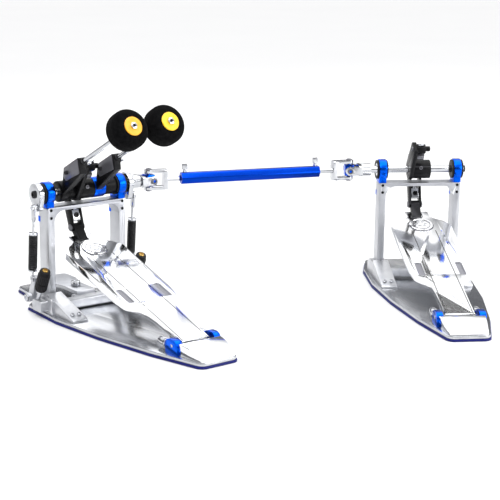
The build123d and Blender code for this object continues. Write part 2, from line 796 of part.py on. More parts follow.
def hoop_pad(low, high):
    with BuildPart() as pad:
        with BuildSketch(Plane.XY.offset(low)) as outline:
            with Locations((0, 66)):
                RectangleRounded(38, 36, 4)
        extrude(amount=high - low)
    return pad.part


def clamp_screw():
    """Socket-headed screw that pulls the jaw down."""
    with BuildPart() as screw:
        with BuildSketch(Plane.XY.offset(PLATE_TOP)):
            with Locations((0, CLAMP_SCREW_Y)):
                Circle(3)
        extrude(amount=JAW_HIGH + 0.4 - PLATE_TOP)
        with BuildSketch(Plane.XY.offset(JAW_HIGH + 0.4)):
            with Locations((0, CLAMP_SCREW_Y)):
                Circle(6.5)
        extrude(amount=6)
        with BuildSketch(Plane.XY.offset(JAW_HIGH + 3.4)):
            with Locations((0, CLAMP_SCREW_Y)):
                RegularPolygon(3.2, 6)
        extrude(amount=4, mode=Mode.SUBTRACT)
    return screw.part


# ---------------------------------------------------------------- assembly

# Pieces that both pedals have.
for pedal, place in (("main", MAIN), ("slave", SLAVE)):
    save(floor_sheet(pedal, 0, MAT_TOP), f"{pedal}_floor_mat", place)
    save(floor_sheet(pedal, MAT_TOP, PLATE_TOP, inset=1.2), f"{pedal}_base_plate", place)
    save(post_frame(), f"{pedal}_post_frame", place)
    save(feet(pedal == "main"), f"{pedal}_feet", place)
    save(heel_plate(), f"{pedal}_heel_plate", place)
    save(footboard(), f"{pedal}_footboard", place)
    save(hinge_blocks(), f"{pedal}_hinge_blocks", place)
    save(bearing_housings(), f"{pedal}_bearing_housings", place)
    save(bearing_cartridges(), f"{pedal}_bearing_cartridges", place)
    save(link(), f"{pedal}_link", place)
    save(link_block(), f"{pedal}_link_block", place)
    save(cam_clamp(), f"{pedal}_cam_clamp", place)

# Main shaft: the left axle carries the cam and runs on inside the right beater's sleeve.
HUB_SLEEVE_END, RING_LOW, RING_HIGH, SLEEVE_END = -16.3, 12.3, 28.8, 46.4
BORE_END = SLEEVE_END - 2.0
save(round_bar(-ROCKER_OUT, BORE_END - 0.4, SHAFT_R), "left_axle")
save(cam(-10.3, 11.9), "main_cam")
with BuildPart() as right_axle:
    add(round_bar(RING_HIGH, SLEEVE_END, 12.0))
    add(round_bar(SLEEVE_END, ROCKER_OUT, SHAFT_R))
    add(round_bar(RING_HIGH, BORE_END, SHAFT_R + RUNNING_GAP), mode=Mode.SUBTRACT)
save(right_axle.part, "right_axle")
save(round_bar(RING_LOW, RING_HIGH, RING_R, SHAFT_R + RUNNING_GAP), "right_ring")

save(beater_holder(LEFT_BEATER_X, on_ring=False), "left_beater_holder")
save(beater_holder(RIGHT_BEATER_X, on_ring=True), "right_beater_holder")
for side, x, reach in (
    ("left", LEFT_BEATER_X, LEFT_BEATER_REACH),
    ("right", RIGHT_BEATER_X, RIGHT_BEATER_REACH),
):
    save(beater_rod(x, reach), f"{side}_beater_rod")
    save(beater_head(x, reach), f"{side}_beater_head")
    save(beater_badge(x, reach), f"{side}_beater_badge")

# Return springs.
save(spring_brackets(), "spring_brackets")
for side, sign in (("left", -1), ("right", 1)):
    save(rocker(sign), f"{side}_rocker")
    save(spring_upper(sign), f"{side}_spring_upper")
    save(spring_coil(sign), f"{side}_spring_coil")
    save(spring_lower(sign), f"{side}_spring_lower")
    save(tension_knob(sign), f"{side}_tension_knob")

# Hoop clamp.
save(hoop_jaw(), "hoop_jaw")
save(hoop_pad(JAW_LOW - 2, JAW_LOW), "hoop_jaw_pad")
save(clamp_screw(), "hoop_clamp_screw")

# Slave shaft.
save(round_bar(-72, 66, SHAFT_R), "slave_axle", SLAVE)
save(cam(-10.3, 15), "slave_cam", SLAVE)

# Drive shaft.
save(shaft_yoke(MAIN_JOINT_X, ROCKER_OUT), "main_shaft_yoke")
save(cross(MAIN_JOINT_X), "main_cross")
save(shaft_yoke(SLAVE_JOINT_X, -72), "slave_shaft_yoke", SLAVE)
save(cross(SLAVE_JOINT_X), "slave_cross", SLAVE)
save(drive_tube(), "drive_tube", TUBE)
save(rod_yoke(0, 111), "main_rod_yoke", TUBE)
save(rod_yoke(JOINT_SPAN, 150), "slave_rod_yoke", TUBE)
save(tube_screws(), "tube_screws", TUBE)
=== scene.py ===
"""Looks for the double bass drum pedal: finer meshes, materials, light and camera around the CAD frame."""
import json
from math import cos, pi, radians, sin

import bmesh
import bpy
from mathutils import Matrix, Vector


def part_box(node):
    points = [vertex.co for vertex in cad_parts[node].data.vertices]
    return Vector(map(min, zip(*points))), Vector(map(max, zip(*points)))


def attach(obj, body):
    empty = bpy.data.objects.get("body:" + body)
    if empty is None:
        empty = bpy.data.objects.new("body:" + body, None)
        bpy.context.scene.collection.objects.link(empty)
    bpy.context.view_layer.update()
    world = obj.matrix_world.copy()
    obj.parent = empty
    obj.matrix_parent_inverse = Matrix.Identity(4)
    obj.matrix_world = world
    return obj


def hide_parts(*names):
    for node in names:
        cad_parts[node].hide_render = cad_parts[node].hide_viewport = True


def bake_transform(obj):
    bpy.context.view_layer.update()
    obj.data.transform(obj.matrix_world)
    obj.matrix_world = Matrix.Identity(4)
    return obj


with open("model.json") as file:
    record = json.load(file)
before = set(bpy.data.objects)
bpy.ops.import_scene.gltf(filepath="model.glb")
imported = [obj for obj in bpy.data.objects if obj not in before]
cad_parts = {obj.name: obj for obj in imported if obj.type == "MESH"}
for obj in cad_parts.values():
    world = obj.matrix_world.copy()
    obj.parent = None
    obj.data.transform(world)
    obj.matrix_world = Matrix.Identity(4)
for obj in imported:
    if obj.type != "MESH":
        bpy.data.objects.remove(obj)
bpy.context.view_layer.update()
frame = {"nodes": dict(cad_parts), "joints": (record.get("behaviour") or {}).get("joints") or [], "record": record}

MM = 0.001
record = frame["record"]
joints = {j["name"]: j for j in frame["joints"]}
body_of = {n: body for body, nodes in record["behaviour"]["bodies"].items() for n in nodes}
slot_of = {s["node"]: s["material_slot"] for s in record["subparts"]}


# ---------------------------------------------------------------- places

def frame_at(origin, x_axis):
    """A frame with its X along x_axis and its Z up; origin in metres."""
    x = Vector(x_axis).normalized()
    y = Vector((0, 0, 1)).cross(x)
    turn = Matrix((x, y, Vector((0, 0, 1)))).transposed().to_4x4()
    return Matrix.Translation(origin) @ turn


shaft_pos = Vector(joints["left_beater_swing"]["pos_m"])
SHAFT_Z = shaft_pos.z / MM
slave_shaft = joints["slave_shaft_turn"]
tube_joint = joints["drive_tube_turn"]
MAIN = Matrix.Identity(4)
SLAVE = frame_at((slave_shaft["pos_m"][0], slave_shaft["pos_m"][1], 0), slave_shaft["axis"])
TUBE = frame_at(tube_joint["pos_m"], tube_joint["axis"])

hinge = Vector(joints["main_footboard_press"]["pos_m"]) / MM
rod_dir = Vector(joints["left_beater_height"]["axis"])
rod_out = Vector((0, rod_dir.z, -rod_dir.y))
spring_dir = Vector(joints["left_spring_stretch"]["axis"])
spring_foot = Vector(joints["left_spring_tilt"]["pos_m"]) / MM


def axis_frame(place, centre, axis, x_hint=(1, 0, 0)):
    """place, then a frame whose Z runs along axis from centre; centre in millimetres."""
    z = Vector(axis).normalized()
    hint = Vector(x_hint)
    if abs(hint.dot(z)) > 0.99:
        hint = Vector((0, 1, 0))
    x = (hint - z * hint.dot(z)).normalized()
    y = z.cross(x)
    turn = Matrix((x, y, z)).transposed().to_4x4()
    return place @ Matrix.Translation(Vector(centre) * MM) @ turn


# ---------------------------------------------------------------- materials

def node_tree(name):
    mat = bpy.data.materials.new(name)
    mat.use_nodes = True
    tree = mat.node_tree
    shader = tree.nodes["Principled BSDF"]
    return mat, tree, shader


def noise(tree, coords, scale, detail=4.0, stretch=(1, 1, 1)):
    mapping = tree.nodes.new("ShaderNodeMapping")
    mapping.inputs["Scale"].default_value = stretch
    tree.links.new(coords, mapping.inputs["Vector"])
    tex = tree.nodes.new("ShaderNodeTexNoise")
    tex.inputs["Scale"].default_value = scale
    tex.inputs["Detail"].default_value = detail
    tree.links.new(mapping.outputs["Vector"], tex.inputs["Vector"])
    return tex.outputs["Fac"]


def ranged(tree, value, low, high, out_low, out_high):
    node = tree.nodes.new("ShaderNodeMapRange")
    node.inputs["From Min"].default_value = low
    node.inputs["From Max"].default_value = high
    node.inputs["To Min"].default_value = out_low
    node.inputs["To Max"].default_value = out_high
    tree.links.new(value, node.inputs["Value"])
    return node.outputs["Result"]


def blended(tree, factor, first, second):
    """Colour between first and second; each is a colour or a socket."""
    mix = tree.nodes.new("ShaderNodeMix")
    mix.data_type = "RGBA"
    tree.links.new(factor, mix.inputs["Factor"])
    for socket, value in ((mix.inputs["A"], first), (mix.inputs["B"], second)):
        if isinstance(value, tuple):
            socket.default_value = (*value, 1)
        else:
            tree.links.new(value, socket)
    return mix.outputs["Result"]


def surface(name, light, dark, metallic, rough, patch=60, grain=900, bump=0.1, depth=0.05,
            stretch=(1, 1, 1), worn=None, coat=0.0, sheen=0.0, edge=(0.53, 0.62), specular=0.5):
    """Procedural surface: drifting tone and roughness, fine grain in relief, and worn edges."""
    mat, tree, shader = node_tree(name)
    coords = tree.nodes.new("ShaderNodeTexCoord").outputs["Object"]
    broad = noise(tree, coords, patch, 5, stretch)
    fine = noise(tree, coords, grain, 3, stretch)
    colour = blended(tree, ranged(tree, broad, 0.3, 0.7, 0, 1), light, dark)
    if worn:
        point = tree.nodes.new("ShaderNodeNewGeometry").outputs["Pointiness"]
        colour = blended(tree, ranged(tree, point, edge[0], edge[1], 0, 0.8), colour, worn)
    tree.links.new(colour, shader.inputs["Base Color"])
    shader.inputs["Metallic"].default_value = metallic
    tree.links.new(ranged(tree, fine, 0.25, 0.75, rough[0], rough[1]), shader.inputs["Roughness"])
    shader.inputs["Specular IOR Level"].default_value = specular
    shader.inputs["Coat Weight"].default_value = coat
    shader.inputs["Coat Roughness"].default_value = 0.12
    if sheen:
        shader.inputs["Sheen Weight"].default_value = sheen
        shader.inputs["Sheen Roughness"].default_value = 0.5
    relief = tree.nodes.new("ShaderNodeBump")
    relief.inputs["Strength"].default_value = bump
    relief.inputs["Distance"].default_value = depth * MM
    tree.links.new(fine, relief.inputs["Height"])
    tree.links.new(relief.outputs["Normal"], shader.inputs["Normal"])
    return mat


MATERIALS = {
    "polished_board": surface("polished_board", (0.93, 0.935, 0.945), (0.84, 0.85, 0.87), 1, (0.07, 0.15),
                              patch=25, grain=500, bump=0.08, depth=0.03, stretch=(6, 0.35, 0.35)),
    "polished_plate": surface("polished_plate", (0.56, 0.57, 0.59), (0.44, 0.45, 0.48), 1, (0.14, 0.24),
                              patch=18, grain=700, bump=0.1, depth=0.03, stretch=(5, 0.4, 1)),
    "satin_frame": surface("satin_frame", (0.46, 0.47, 0.50), (0.37, 0.38, 0.41), 1, (0.38, 0.48),
                           patch=40, grain=1400, bump=0.15, depth=0.04, worn=(0.9, 0.91, 0.92)),
    "cast_grey": surface("cast_grey", (0.60, 0.61, 0.63), (0.46, 0.47, 0.50), 1, (0.3, 0.46),
                         patch=90, grain=1100, bump=0.35, depth=0.12, worn=(0.9, 0.9, 0.92)),
    "chrome": surface("chrome", (0.56, 0.57, 0.59), (0.46, 0.47, 0.50), 1, (0.06, 0.14),
                      patch=120, grain=900, bump=0.05, depth=0.03),
    "blue_anodised": surface("blue_anodised", (0.0, 0.09, 0.68), (0.0, 0.06, 0.52), 1, (0.16, 0.27),
                             patch=70, grain=1300, bump=0.08, depth=0.03, worn=(0.01, 0.14, 0.9)),
    "blue_tube": surface("blue_tube", (0.0, 0.032, 0.40), (0.0, 0.024, 0.33), 1, (0.2, 0.32),
                         patch=40, grain=1100, bump=0.12, depth=0.03, worn=(0.01, 0.1, 0.6),
                         stretch=(0.4, 4, 4)),
    "black_metal": surface("black_metal", (0.002, 0.002, 0.0024), (0.005, 0.005, 0.0056), 0, (0.2, 0.34),
                           patch=80, grain=1500, bump=0.2, depth=0.05, worn=(0.05, 0.05, 0.055),
                           specular=0.08),
    # Also used for the painted shade in the footboard's slots and in the medallion's rings.
    "grey_metal": surface("grey_metal", (0.075, 0.075, 0.085), (0.05, 0.05, 0.058), 0.5, (0.3, 0.44),
                          patch=70, grain=1200, bump=0.15, depth=0.04, worn=(0.28, 0.28, 0.31), specular=0.3),
    "black_plastic": surface("black_plastic", (0.003, 0.003, 0.0035), (0.007, 0.007, 0.008), 0, (0.34, 0.5),
                             patch=70, grain=1900, bump=0.2, depth=0.05, worn=(0.03, 0.03, 0.033),
                             specular=0.15),
    "black_felt": surface("black_felt", (0.002, 0.002, 0.0024), (0.006, 0.006, 0.0065), 0, (0.85, 1.0),
                          patch=260, grain=2600, bump=0.9, depth=0.5, sheen=0.02, specular=0.02),
    # Also used for the thin black strips of painted shade in the footboard's and heel plate's grooves.
    "black_rubber": surface("black_rubber", (0.012, 0.012, 0.013), (0.03, 0.03, 0.03), 0, (0.6, 0.8),
                            patch=90, grain=2200, bump=0.3, depth=0.08),
    "blue_rubber": surface("blue_rubber", (0.003, 0.006, 0.13), (0.002, 0.004, 0.09), 0, (0.45, 0.62),
                           patch=60, grain=1800, bump=0.25, depth=0.08, worn=(0.01, 0.02, 0.25),
                           specular=0.25),
    "black_spring": surface("black_spring", (0.010, 0.010, 0.011), (0.03, 0.03, 0.032), 0.6, (0.2, 0.34),
                            patch=200, grain=1500, bump=0.1, depth=0.03),
    "orange_washer": surface("orange_washer", (1.0, 0.50, 0.02), (0.9, 0.4, 0.01), 0, (0.3, 0.42),
                             patch=150, grain=1700, bump=0.15, depth=0.04, coat=0.3),
    "yellow_washer": surface("yellow_washer", (1.0, 0.66, 0.01), (0.92, 0.55, 0.01), 0, (0.3, 0.42),
                             patch=150, grain=1700, bump=0.15, depth=0.04, coat=0.3),
    "brass": surface("brass", (0.55, 0.36, 0.11), (0.4, 0.25, 0.07), 1, (0.2, 0.34),
                     patch=150, grain=1400, bump=0.1, depth=0.03),
}


# ---------------------------------------------------------------- meshes

def finish_mesh(name, mesh_builder, place, body, material, bevel=0.0, angle=35, replaces=()):
    """Turn a bmesh in millimetres into a placed, shaded piece that rides on a body."""
    mesh = bpy.data.meshes.new(name)
    bmesh.ops.recalc_face_normals(mesh_builder, faces=mesh_builder.faces)
    mesh_builder.transform(Matrix.Scale(MM, 4))
    mesh_builder.transform(place)
    mesh_builder.to_mesh(mesh)
    mesh_builder.free()
    return dress(name, mesh, body, material, bevel, angle, replaces)


def dress(name, mesh, body, material, bevel=0.0, angle=35, replaces=()):
    piece = bpy.data.objects.new(name, mesh)
    bpy.context.scene.collection.objects.link(piece)
    if bevel:
        rounding = piece.modifiers.new("edges", "BEVEL")
        rounding.width = bevel * MM
        rounding.segments = 2
        rounding.limit_method = "ANGLE"
        rounding.angle_limit = radians(angle)
        rounding.use_clamp_overlap = True
        apply_modifiers(piece)
    shade(piece.data, angle)
    piece.data.materials.clear()
    piece.data.materials.append(MATERIALS[material])
    if body:
        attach(piece, body)
    if replaces:
        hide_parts(*replaces)
    return piece


def apply_modifiers(piece):
    bpy.context.view_layer.update()
    graph = bpy.context.evaluated_depsgraph_get()
    made = bpy.data.meshes.new_from_object(piece.evaluated_get(graph))
    piece.modifiers.clear()
    piece.data = made


def shade(mesh, angle):
    """Smooth faces with sharp edges where the surface turns by more than the angle."""
    mesh.shade_smooth()
    bm = bmesh.new()
    bm.from_mesh(mesh)
    for edge in bm.edges:
        edge.smooth = len(edge.link_faces) == 2 and edge.calc_face_angle(0) < radians(angle)
    bm.to_mesh(mesh)
    bm.free()


def refined(node, material=None, bevel=0.6):
    """The CAD node's own shape with rounded edges and the final material."""
    source = frame["nodes"][node].data
    bm = bmesh.new()
    bm.from_mesh(source)
    bmesh.ops.remove_doubles(bm, verts=bm.verts, dist=0.00001)
    bmesh.ops.dissolve_limit(bm, angle_limit=radians(2), verts=bm.verts, edges=bm.edges)
    mesh = bpy.data.meshes.new(f"{node}_fine")
    bm.to_mesh(mesh)
    bm.free()
    dress(f"{node}_fine", mesh, body_of[node], material or slot_of[node], bevel, replaces=(node,))


def lathe(profile, segments=40, radius_wave=None):
    """Revolve (height, radius) points about Z. radius_wave(angle, height) scales the radius."""
    bm = bmesh.new()
    rings = []
    for height, radius in profile:
        if radius < 1e-6:
            rings.append([bm.verts.new((0, 0, height))])
            continue
        ring = []
        for k in range(segments):
            a = 2 * pi * k / segments
            r = radius * (radius_wave(a, height) if radius_wave else 1)
            ring.append(bm.verts.new((r * cos(a), r * sin(a), height)))
        rings.append(ring)
    for low, high in zip(rings, rings[1:]):
        for k in range(segments):
            n = (k + 1) % segments
            corners = [low[k % len(low)], low[n % len(low)], high[n % len(high)], high[k % len(high)]]
            unique = list(dict.fromkeys(corners))
            if len(unique) > 2:
                bm.faces.new(unique)
    for ring in (rings[0], rings[-1]):
        if len(ring) > 1:
            bm.faces.new(ring)
    return bm


def prism(outline, low, high):
    """Upright solid on an outline of (x, y) points, from low to high."""
    bm = bmesh.new()
    bottom = [bm.verts.new((x, y, low)) for x, y in outline]
    top = [bm.verts.new((x, y, high)) for x, y in outline]
    bm.faces.new(bottom)
    bm.faces.new(top)
    for k in range(len(outline)):
        n = (k + 1) % len(outline)
        bm.faces.new((bottom[k], bottom[n], top[n], top[k]))
    return bm


def tube_along(points, radius, sides=8):
    """Round bar through points, in millimetres."""
    bm = bmesh.new()
    rings = []
    reference = Vector((0, 0, 1)) if abs((points[1] - points[0]).normalized().z) < 0.9 else Vector((1, 0, 0))
    for k, point in enumerate(points):
        ahead = (points[min(k + 1, len(points) - 1)] - points[max(k - 1, 0)]).normalized()
        first = (reference - ahead * reference.dot(ahead)).normalized()
        reference = first
        second = ahead.cross(first)
        rings.append([bm.verts.new(point + first * (radius * cos(2 * pi * i / sides))
                                   + second * (radius * sin(2 * pi * i / sides))) for i in range(sides)])
    for low, high in zip(rings, rings[1:]):
        for i in range(sides):
            j = (i + 1) % sides
            bm.faces.new((low[i], low[j], high[j], high[i]))
    bm.faces.new(rings[0])
    bm.faces.new(rings[-1])
    return bm


def socket_bolt(name, place, centre, axis, body, radius=3.2, height=3.0, material="chrome"):
    """Cap screw: chamfered round head with a hexagonal socket."""
    bm = bmesh.new()
    sides, socket, deep = 24, 0.52 * radius, 0.6 * height
    levels = [(0, radius), (height * 0.82, radius), (height, radius * 0.86)]
    rings = [[bm.verts.new((r * cos(2 * pi * k / sides), r * sin(2 * pi * k / sides), h))
              for k in range(sides)] for h, r in levels]
    hexagon = []
    for h in (height, height - deep):
        ring = []
        for k in range(sides):
            a = 2 * pi * k / sides
            fold = (a % (pi / 3)) - pi / 6
            r = socket * cos(pi / 6) / cos(fold)
            ring.append(bm.verts.new((r * cos(a), r * sin(a), h)))
        hexagon.append(ring)
    rings += hexagon
    for low, high in zip(rings, rings[1:]):
        for k in range(sides):
            n = (k + 1) % sides
            bm.faces.new((low[k], low[n], high[n], high[k]))
    bm.faces.new(rings[0])
    bm.faces.new(rings[-1])
    finish_mesh(name, bm, axis_frame(place, centre, axis), body, material, angle=28)


def hex_nut(name, place, centre, axis, body, across=8.0, height=4.0, material="chrome"):
    """Hexagon nut with rounded corners and a dark threaded end showing in the middle."""
    outline = [(across / 2 / cos(pi / 6) * cos(pi / 3 * k), across / 2 / cos(pi / 6) * sin(pi / 3 * k))
               for k in range(6)]
    where = axis_frame(place, centre, axis)
    finish_mesh(name, prism(outline, 0, height), where, body, material, bevel=0.5)
    end = lathe([(height - 0.2, across * 0.27), (height + 0.5, across * 0.25), (height + 0.8, across * 0.18),
                 (height + 0.8, 0)], 20)
    finish_mesh(f"{name}_end", end, where, body, "black_metal")


# ---------------------------------------------------------------- camera, stage and light

CAMERA_PLACE = Vector((-0.9515, -1.5842, 0.5421))
CAMERA_YAW, CAMERA_PITCH, CAMERA_ROLL = 37.98, 14.09, 0.78
LENS_MM = 100.9


def camera():
    """The camera stands on the player's side, to the left."""
    data = bpy.data.cameras.new("camera")
    data.lens = LENS_MM
    data.sensor_width = 36
    data.clip_end = 50
    cam = bpy.data.objects.new("camera", data)
    bpy.context.scene.collection.objects.link(cam)
    cam.matrix_world = (
        Matrix.Translation(CAMERA_PLACE)
        @ Matrix.Rotation(radians(-CAMERA_YAW), 4, "Z")
        @ Matrix.Rotation(radians(90 - CAMERA_PITCH), 4, "X")
        @ Matrix.Rotation(radians(CAMERA_ROLL), 4, "Z")
    )
    bpy.context.scene.camera = cam


def area_light(name, place, target, size, power, diffuse=True):
    """Soft box aimed at target. Without diffuse it shows in glossy surfaces only."""
    data = bpy.data.lights.new(name, "AREA")
    data.shape = "RECTANGLE"
    data.size, data.size_y = size
    data.energy = power
    lamp = bpy.data.objects.new(name, data)
    bpy.context.scene.collection.objects.link(lamp)
    lamp.location = place
    lamp.rotation_euler = (Vector(target) - Vector(place)).to_track_quat("-Z", "Y").to_euler()
    lamp.visible_diffuse = diffuse


def stage_and_light():
    """Pale floor under a bright ceiling, with a dark band low down for the metal to reflect."""
    world = bpy.data.worlds.new("studio")
    bpy.context.scene.world = world
    world.use_nodes = True
    tree = world.node_tree
    back = tree.nodes["Background"]
    coords = tree.nodes.new("ShaderNodeTexCoord").outputs["Generated"]
    split = tree.nodes.new("ShaderNodeSeparateXYZ")
    tree.links.new(coords, split.inputs["Vector"])
    overhead = ranged(tree, split.outputs["Z"], 0.34, 0.56, 0, 1)
    in_front = ranged(tree, split.outputs["Y"], 0.1, -0.75, 0, 1)
    from_left = ranged(tree, split.outputs["X"], -0.35, -0.85, 0, 1)
    low = blended(tree, in_front, (0.16, 0.165, 0.18), (0.34, 0.345, 0.36))
    low = blended(tree, from_left, low, (0.08, 0.08, 0.09))
    horizon = ranged(tree, split.outputs["Z"], 0.07, 0.11, 0, 1)
    low = blended(tree, horizon, (0.97, 0.97, 0.97), low)
    colour = blended(tree, overhead, low, (1.34, 1.34, 1.34))
    tree.links.new(colour, back.inputs["Color"])
    back.inputs["Strength"].default_value = 1.0

    floor_mat, tree, shader = node_tree("pale_floor")
    coords = tree.nodes.new("ShaderNodeTexCoord").outputs["Object"]
    tint = blended(tree, noise(tree, coords, 3), (0.93, 0.93, 0.93), (0.9, 0.9, 0.905))
    tree.links.new(tint, shader.inputs["Base Color"])
    shader.inputs["Roughness"].default_value = 0.55
    bm = bmesh.new()
    half = 30.0
    bm.faces.new([bm.verts.new((x * half, y * half, 0)) for x, y in ((-1, -1), (1, -1), (1, 1), (-1, 1))])
    mesh = bpy.data.meshes.new("floor")
    bm.to_mesh(mesh)
    bm.free()
    mesh.materials.append(floor_mat)
    floor = bpy.data.objects.new("floor", mesh)
    floor.location.z = -0.0002
    bpy.context.scene.collection.objects.link(floor)

    middle = (0.25, -0.1, 0.08)
    area_light("key", (-0.9, -0.9, 1.7), middle, (1.2, 1.2), 12)
    area_light("front", (1.2, -1.7, 0.7), middle, (1.6, 0.8), 20)
    area_light("overhead", (0.2, -0.3, 2.2), middle, (3.6, 2.4), 60, diffuse=False)
    area_light("back", (0.6, 1.6, 1.2), middle, (2.0, 0.9), 8)
    bpy.context.scene.view_settings.view_transform = "Standard"


# ---------------------------------------------------------------- both pedals

BOARD_SLOPE = radians(15.9)
BOARD_TOP = 21.7
PLATE_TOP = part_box("main_base_plate")[1].z / MM
POST_X = 55.0
POST_SCREW_Z = (131.5, 141.9)
HINGE_BLOCK_X = 33.0          # outer face of a hinge block
RACE_X = 61.8                 # recessed outer face of a bearing cartridge
LINK_FACE_X = 9.0             # outer face of the link's side plates
POST_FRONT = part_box("main_post_frame")[0].y / MM
LINK_BARREL = Vector((0, 17.0, 107.5))
LINK_BEND = Vector((0, 26.0, 133.0))
CAM_PIVOT = Vector((0, 26.0 * cos(radians(30)), SHAFT_Z + 13.0))


def board_frame(place):
    normal = (0, -sin(BOARD_SLOPE), cos(BOARD_SLOPE))
    return axis_frame(place, (0, hinge.y, BOARD_TOP), normal)


# On the footboard: v is across it and u is along it from the hinge.
GROOVE_IN, GROOVE_OUT = 17.0, 18.1
SLOT_U, SLOT_V, SLOT_HALF_U, SLOT_HALF_V = 114, 28.5, 16.6, 4.2
MEDALLION_U = 237


def footboard_details(pedal, place):
    """Two fine grooves down the tread drawn as thin black strips of painted shade, dark insets of painted shade in
    the slots and a plain medallion near the toe, ringed with painted shade in its base crease and channel.
    """
    body, where = f"{pedal}_footboard", board_frame(place)
    low_u, high_u = -2, 221
    for side in (-1, 1):
        # Each groove is a thin black strip raised a hair over the board: painted shade standing in for the dark
        # inside the groove.
        line = [(side * v, u) for v, u in ((GROOVE_IN, low_u), (GROOVE_OUT, low_u),
                                           (GROOVE_OUT, high_u), (GROOVE_IN, high_u))]
        finish_mesh(f"{pedal}_groove_{side}", prism(line, -0.3, 0.08), where, body, "black_rubber")
        # A dark grey plate sunk in each slot: painted shade standing in for the dark of the opening.
        inset = [(side * SLOT_V + v * SLOT_HALF_V, SLOT_U + u * SLOT_HALF_U)
                 for v, u in ((-1, -1), (1, -1), (1, 1), (-1, 1))]
        finish_mesh(f"{pedal}_slot_shade_{side}", prism(inset, -3.4, -2.2), where, body, "grey_metal")
    disc = lathe([(-0.2, 17), (1.2, 17), (1.7, 16.4), (1.7, 14.6), (1.1, 14.2), (1.1, 10.4),
                  (1.6, 10), (1.6, 0)], 64)
    medallion = where @ Matrix.Translation((0, MEDALLION_U * MM, 0))
    finish_mesh(f"{pedal}_medallion", disc, medallion, body, "polished_board")
    # Two dark grey rings, one round the medallion's foot where it meets the board and one in its sunk channel:
    # painted shade in the crease and the recess.
    points = 48
    for k, (radius, height) in enumerate(((17.6, 0.1), (12.6, 1.1))):
        ring = [Vector((radius * cos(2 * pi * i / points), radius * sin(2 * pi * i / points), height))
                for i in range(points + 1)]
        finish_mesh(f"{pedal}_medallion_shade_ring_{k}", tube_along(ring, 0.55, 6), medallion, body, "grey_metal")
    petals, petal_reach = 6, 6.4
    for k in range(petals):
        a = 2 * pi * k / petals
        petal = lathe([(1.4, 3.0), (2.0, 2.6), (2.0, 0)], 16)
        spot = Matrix.Translation(Vector((petal_reach * cos(a), petal_reach * sin(a), 0)) * MM)
        finish_mesh(f"{pedal}_petal_{k}", petal, medallion @ spot, body, "satin_frame")


def heel_details(pedal, place):
    """The tread's two grooves, carried on down the heel plate's curve as thin black strips of painted shade."""
    front, back, rise, sunk, steps = -263.2, -306.5, 0.12, -0.6, 14
    arc_start, arc_length, arc_slope, arc_drop = -262.4, -45.6, 1.0, 11.7
    for side in (-1, 1):
        bm = bmesh.new()
        rows = []
        for k in range(steps + 1):
            y = front + (back - front) * k / steps
            t = (y - arc_start) / arc_length
            z = BOARD_TOP - arc_slope * t - arc_drop * t * t
            rows.append([bm.verts.new((side * x, y, z + h)) for x, h in (
                (GROOVE_IN, sunk), (GROOVE_IN, rise), (GROOVE_OUT, rise), (GROOVE_OUT, sunk))])
        for a, b in zip(rows, rows[1:]):
            for i in range(4):
                j = (i + 1) % 4
                bm.faces.new((a[i], a[j], b[j], b[i]))
        bm.faces.new(rows[0])
        bm.faces.new(rows[-1])
        finish_mesh(f"{pedal}_heel_groove_shade_{side}", bm, place, f"{pedal}_pedal", "black_rubber")


def hinge_details(pedal, place):
    """The hinge block node as two pieces, blue blocks and bright lock screws, and the pin's heads."""
    node, screws_start = f"{pedal}_hinge_blocks", hinge.y + 13.9
    to_pedal = place.inverted()
    for name, material, wanted in (("blocks", "blue_anodised", False), ("lock_screws", "chrome", True)):
        bm = bmesh.new()
        bm.from_mesh(frame["nodes"][node].data)
        bmesh.ops.remove_doubles(bm, verts=bm.verts, dist=0.00001)
        away = [f for f in bm.faces
                if ((to_pedal @ f.calc_center_median()).y / MM > screws_start) != wanted]
        bmesh.ops.delete(bm, geom=away, context="FACES")
        bmesh.ops.dissolve_limit(bm, angle_limit=radians(2), verts=bm.verts, edges=bm.edges)
        mesh = bpy.data.meshes.new(f"{pedal}_{name}")
        bm.to_mesh(mesh)
        bm.free()
        dress(f"{pedal}_{name}", mesh, f"{pedal}_pedal", material, 0.5, replaces=() if wanted else (node,))
    for side in (-1, 1):
        pin_end = (side * HINGE_BLOCK_X, hinge.y, hinge.z)
        socket_bolt(f"{pedal}_hinge_pin_{side}", place, pin_end, (side, 0, 0), f"{pedal}_pedal", 2.2, 0.8)


def screws(pedal, place):
    """Screws of the feet, base plate and posts, and the blue tab behind each post."""
    body = f"{pedal}_pedal"
    slope = Vector((0, -21, 68)).normalized()
    tab_z = 127.6
    for side in (-1, 1):
        for k, x in enumerate((50, 60)):
            socket_bolt(f"{pedal}_foot_screw_{side}_{k}", place, (side * x, -70, 14.0), slope, body, 3.0, 2.2)
        socket_bolt(f"{pedal}_plate_screw_{side}", place, (side * 30, 67, PLATE_TOP - 0.2), (0, 0, 1), body,
                    3.4, 1.6)
        for k, z in enumerate(POST_SCREW_Z):
            socket_bolt(f"{pedal}_post_screw_{side}_{k}", place, (side * POST_X, POST_FRONT + 0.3, z),
                        (0, -1, 0), body, 2.0, 0.9, "black_metal")
        tab = prism([(-5.2, -4), (5.2, -4), (5.2, 4), (-5.2, 4)], -3.0, 2.4)
        behind = axis_frame(place, (side * POST_X, -POST_FRONT, tab_z), (0, 1, 0))
        finish_mesh(f"{pedal}_post_tab_{side}", tab, behind, body, "blue_anodised", bevel=0.8)


def bearing_details(pedal, place, ends):
    """Bright inner race in the recess of each cartridge's outer face, and the bolt in the axle's end."""
    for side in (-1, 1):
        race = lathe([(0, 9.4), (0.5, 9.4), (0.9, 9.0), (0.9, 6.4), (0.3, 6.0), (0, 6.0)], 40)
        recess = axis_frame(place, (side * RACE_X, 0, SHAFT_Z), (side, 0, 0))
        finish_mesh(f"{pedal}_race_{side}", race, recess, f"{pedal}_pedal", "chrome")
    for name, x, side, body in ends:
        socket_bolt(f"{name}_end_bolt", place, (x, 0, SHAFT_Z), (side, 0, 0), body, 4.8, 2.2, "black_metal")


